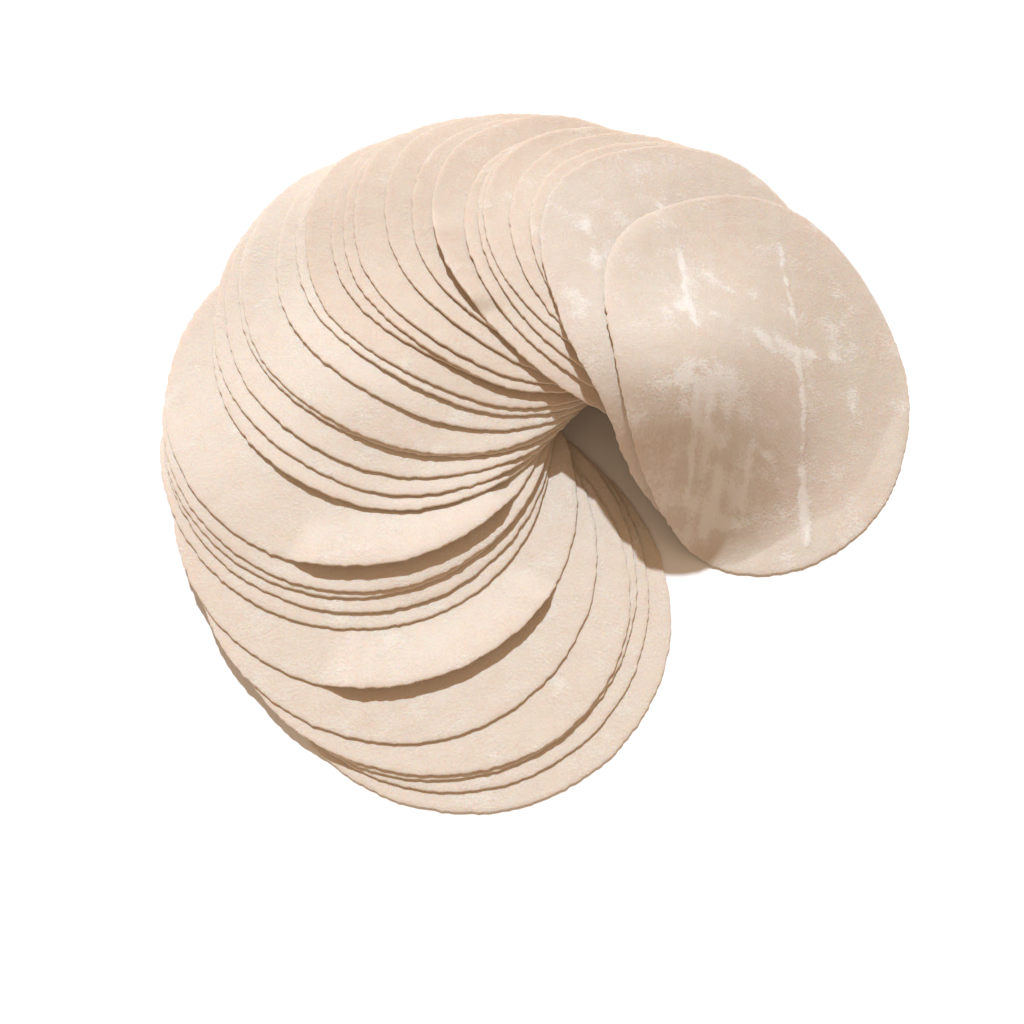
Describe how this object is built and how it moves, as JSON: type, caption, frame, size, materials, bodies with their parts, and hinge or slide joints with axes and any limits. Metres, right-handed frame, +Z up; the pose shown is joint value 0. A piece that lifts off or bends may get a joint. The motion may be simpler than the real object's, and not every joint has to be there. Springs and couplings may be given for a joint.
{
  "type": "stack of dumpling wrappers",
  "caption": "Round flat dumpling wrappers of pale dough laid in a turning fan, each lying on the ones before it round one shared point.",
  "frame": {"origin": "centre of the fan's bounding box in plan, on the table under it", "axes": "+Z up from the table; the bottom wrapper lies towards -Y, and the top one towards +X"},
  "size_m": [0.1808, 0.1751, 0.0375],
  "materials": {
    "dough": "matt, lightly floured",
    "floury_dough": "matt, with streaks of dry flour"
  },
  "bodies": {
    "root": {"wrapper_01": "dough", "wrapper_02": "dough", "wrapper_03": "dough", "wrapper_04": "dough", "wrapper_05": "dough", "wrapper_06": "dough", "wrapper_07": "dough", "wrapper_08": "dough", "wrapper_09": "dough", "wrapper_10": "dough", "wrapper_11": "dough", "wrapper_12": "dough", "wrapper_13": "dough", "wrapper_14": "dough", "wrapper_15": "dough", "wrapper_16": "dough", "wrapper_17": "dough", "wrapper_18": "dough", "wrapper_19": "dough", "wrapper_20": "dough", "wrapper_21": "dough", "wrapper_22": "dough", "wrapper_23": "dough", "wrapper_24": "dough", "wrapper_25": "dough", "wrapper_26": "dough", "wrapper_27": "dough", "wrapper_28": "dough", "wrapper_29": "dough", "wrapper_30": "dough", "wrapper_31": "floury_dough", "wrapper_32": "floury_dough"}
  },
  "joints": []
}
